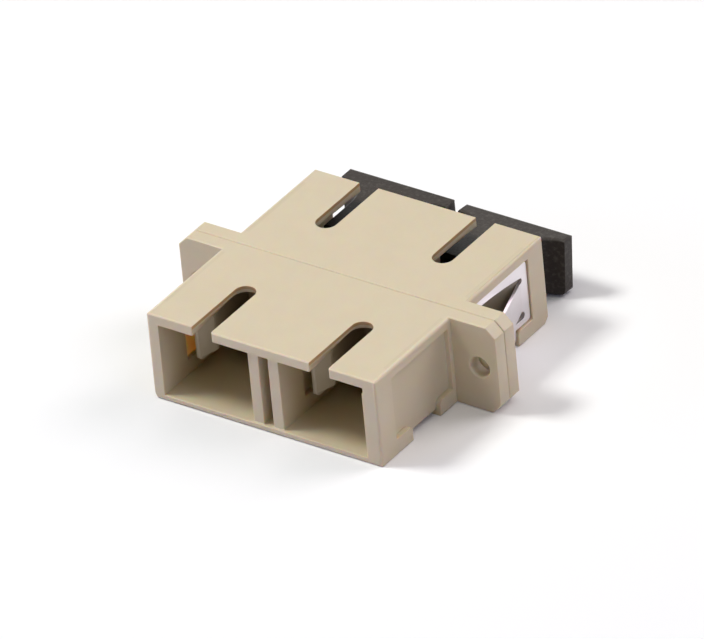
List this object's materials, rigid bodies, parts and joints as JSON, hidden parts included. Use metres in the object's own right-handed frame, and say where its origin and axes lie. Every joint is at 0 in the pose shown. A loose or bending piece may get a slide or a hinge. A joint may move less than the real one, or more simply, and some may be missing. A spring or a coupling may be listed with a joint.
{
  "type": "duplex fibre adapter",
  "caption": "Rectangular duplex fibre adapter: a two-part housing with side-by-side ports and roof keyways, an eared flange, a folded spring clip and T-shaped dust caps at the far ports.",
  "frame": {"origin": "midway between the two flange holes, on the plane where the two housings meet", "axes": "+X along the flange to the right, +Y from the open ports to the capped ports, +Z towards the keyways in the roof"},
  "size_m": [0.0344, 0.0323, 0.009],
  "materials": {
    "housing": "fine matt moulded, slightly translucent where thin",
    "latch": "satin moulded",
    "sleeve": "smooth bronze strip",
    "clip": "satin rolled sheet",
    "cap": "soft black, faintly grained"
  },
  "bodies": {
    "adapter": {"housing_near": "housing", "housing_far": "housing", "latch_near_left": "latch", "latch_near_right": "latch", "latch_far_left": "latch", "latch_far_right": "latch", "sleeve_left": "sleeve", "sleeve_right": "sleeve", "panel_clip": "clip"},
    "cap_left": {"dust_cap_left": "cap"},
    "cap_right": {"dust_cap_right": "cap"}
  },
  "joints": [
    {"name": "left_cap_slide", "type": "slide", "parent": "adapter", "child": "cap_left", "axis": [0, 1, 0], "range_m": [-0.0028, 0.008]},
    {"name": "right_cap_slide", "type": "slide", "parent": "adapter", "child": "cap_right", "axis": [0, 1, 0], "range_m": [0, 0.008]}
  ]
}
